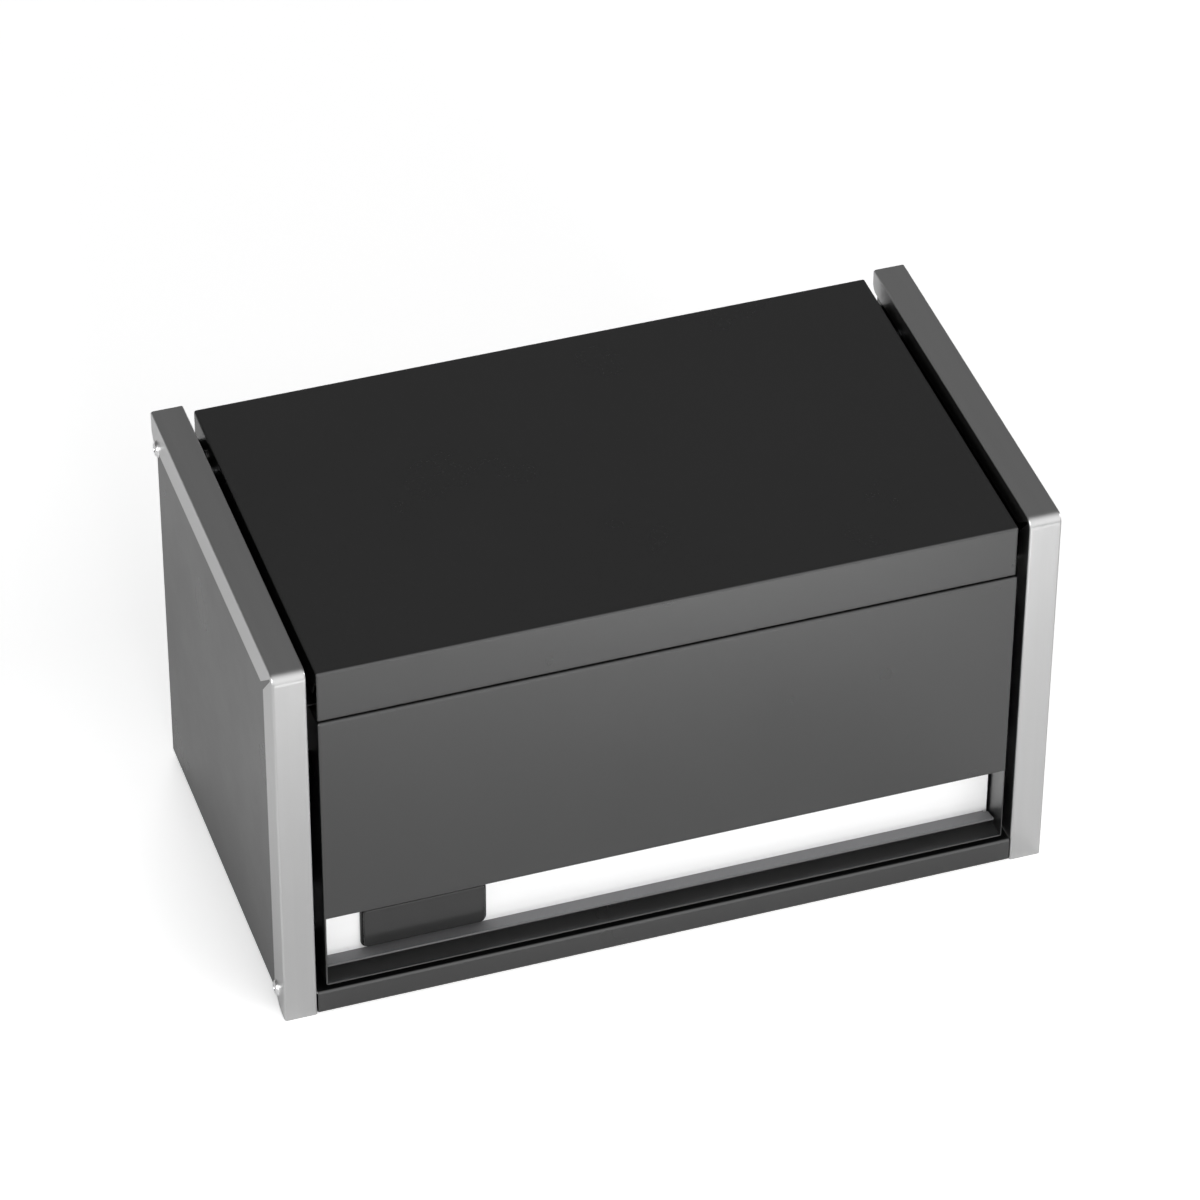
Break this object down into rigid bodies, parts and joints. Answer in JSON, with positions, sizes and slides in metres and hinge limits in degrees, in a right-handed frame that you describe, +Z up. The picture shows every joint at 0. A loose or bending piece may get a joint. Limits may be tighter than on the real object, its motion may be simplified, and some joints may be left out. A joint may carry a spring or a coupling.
{
  "type": "toolbox with drawer",
  "caption": "Small steel toolbox with a rear-hinged lid over a shallow till, a deep drawer on ball-bearing slides, a recessed metal pull and bright edge trims.",
  "frame": {"origin": "middle of the box's footprint, at the plane it stands on", "axes": "+X to the right along the front, +Y to the rear, +Z up"},
  "size_m": [0.3632, 0.196, 0.198],
  "materials": {
    "trim_metal": "brushed satin",
    "black_paint": "satin powder coat",
    "pull_metal": "satin anodised",
    "badge_black": "soft gloss",
    "zinc_steel": "zinc plated",
    "rivet_metal": "bright nickel",
    "liner_rubber": "matt"
  },
  "bodies": {
    "cabinet": {"side_outer_left": "black_paint", "side_outer_right": "black_paint", "side_inner_left": "black_paint", "side_inner_right": "black_paint", "edge_trim_left": "trim_metal", "edge_trim_right": "trim_metal", "trim_rivets_left": "rivet_metal", "trim_rivets_right": "rivet_metal", "back_panel": "black_paint", "back_rivets": "rivet_metal", "bottom_pan": "black_paint", "till_tray": "black_paint", "till_liner": "liner_rubber", "lid_bumpers": "liner_rubber", "hinge_leaf_cabinet": "zinc_steel", "hinge_pin": "zinc_steel", "hinge_rivets": "rivet_metal", "slide_outer_left": "zinc_steel", "slide_outer_right": "zinc_steel", "slide_rivets_left": "rivet_metal", "slide_rivets_right": "rivet_metal", "stay_stud_left": "zinc_steel", "stay_stud_right": "zinc_steel"},
    "lid": {"lid_pan": "black_paint", "hinge_leaf_lid": "zinc_steel", "stay_pivot_left": "black_paint", "stay_pivot_right": "black_paint"},
    "stay_left": {"lid_stay_left": "zinc_steel"},
    "stay_right": {"lid_stay_right": "zinc_steel"},
    "drawer": {"drawer_front": "black_paint", "drawer_front_inner": "black_paint", "drawer_pull": "pull_metal", "pull_rivets": "rivet_metal", "badge": "badge_black", "drawer_body": "black_paint", "drawer_back": "black_paint", "drawer_liner": "liner_rubber", "slide_inner_left": "zinc_steel", "slide_inner_right": "zinc_steel", "drawer_rivets_left": "rivet_metal", "drawer_rivets_right": "rivet_metal"},
    "slide_middle_left": {"slide_middle_left": "zinc_steel"},
    "cage_outer_left": {"ball_cage_outer_left": "zinc_steel"},
    "cage_inner_left": {"ball_cage_inner_left": "zinc_steel"},
    "slide_middle_right": {"slide_middle_right": "zinc_steel"},
    "cage_outer_right": {"ball_cage_outer_right": "zinc_steel"},
    "cage_inner_right": {"ball_cage_inner_right": "zinc_steel"}
  },
  "joints": [
    {"name": "lid_hinge", "type": "hinge", "parent": "cabinet", "child": "lid", "pos_m": [0, 0.0965, 0.182], "axis": [-1, 0, 0], "range_deg": [0, 95]},
    {"name": "drawer_slide", "type": "slide", "parent": "cabinet", "child": "drawer", "axis": [0, -1, 0], "range_m": [0, 0.148]},
    {"name": "stay_pivot_left", "type": "hinge", "parent": "lid", "child": "stay_left", "pos_m": [-0.1586, 0.07661, 0.18409], "axis": [-1, 0, 0], "range_deg": [-47.5, 0]},
    {"name": "slide_middle_left_slide", "type": "slide", "parent": "cabinet", "child": "slide_middle_left", "axis": [0, -1, 0], "range_m": [0, 0.074]},
    {"name": "cage_outer_left_slide", "type": "slide", "parent": "cabinet", "child": "cage_outer_left", "axis": [0, -1, 0], "range_m": [0, 0.037]},
    {"name": "cage_inner_left_slide", "type": "slide", "parent": "cabinet", "child": "cage_inner_left", "axis": [0, -1, 0], "range_m": [0, 0.111]},
    {"name": "stay_pivot_right", "type": "hinge", "parent": "lid", "child": "stay_right", "pos_m": [0.1586, 0.07661, 0.18409], "axis": [-1, 0, 0], "range_deg": [-47.5, 0]},
    {"name": "slide_middle_right_slide", "type": "slide", "parent": "cabinet", "child": "slide_middle_right", "axis": [0, -1, 0], "range_m": [0, 0.074]},
    {"name": "cage_outer_right_slide", "type": "slide", "parent": "cabinet", "child": "cage_outer_right", "axis": [0, -1, 0], "range_m": [0, 0.037]},
    {"name": "cage_inner_right_slide", "type": "slide", "parent": "cabinet", "child": "cage_inner_right", "axis": [0, -1, 0], "range_m": [0, 0.111]}
  ],
  "couplings": [
    {"joint": "stay_pivot_left", "follows": "lid_hinge", "ratio": -0.5},
    {"joint": "slide_middle_left_slide", "follows": "drawer_slide", "ratio": 0.5},
    {"joint": "cage_outer_left_slide", "follows": "drawer_slide", "ratio": 0.25},
    {"joint": "cage_inner_left_slide", "follows": "drawer_slide", "ratio": 0.75},
    {"joint": "stay_pivot_right", "follows": "lid_hinge", "ratio": -0.5},
    {"joint": "slide_middle_right_slide", "follows": "drawer_slide", "ratio": 0.5},
    {"joint": "cage_outer_right_slide", "follows": "drawer_slide", "ratio": 0.25},
    {"joint": "cage_inner_right_slide", "follows": "drawer_slide", "ratio": 0.75}
  ]
}
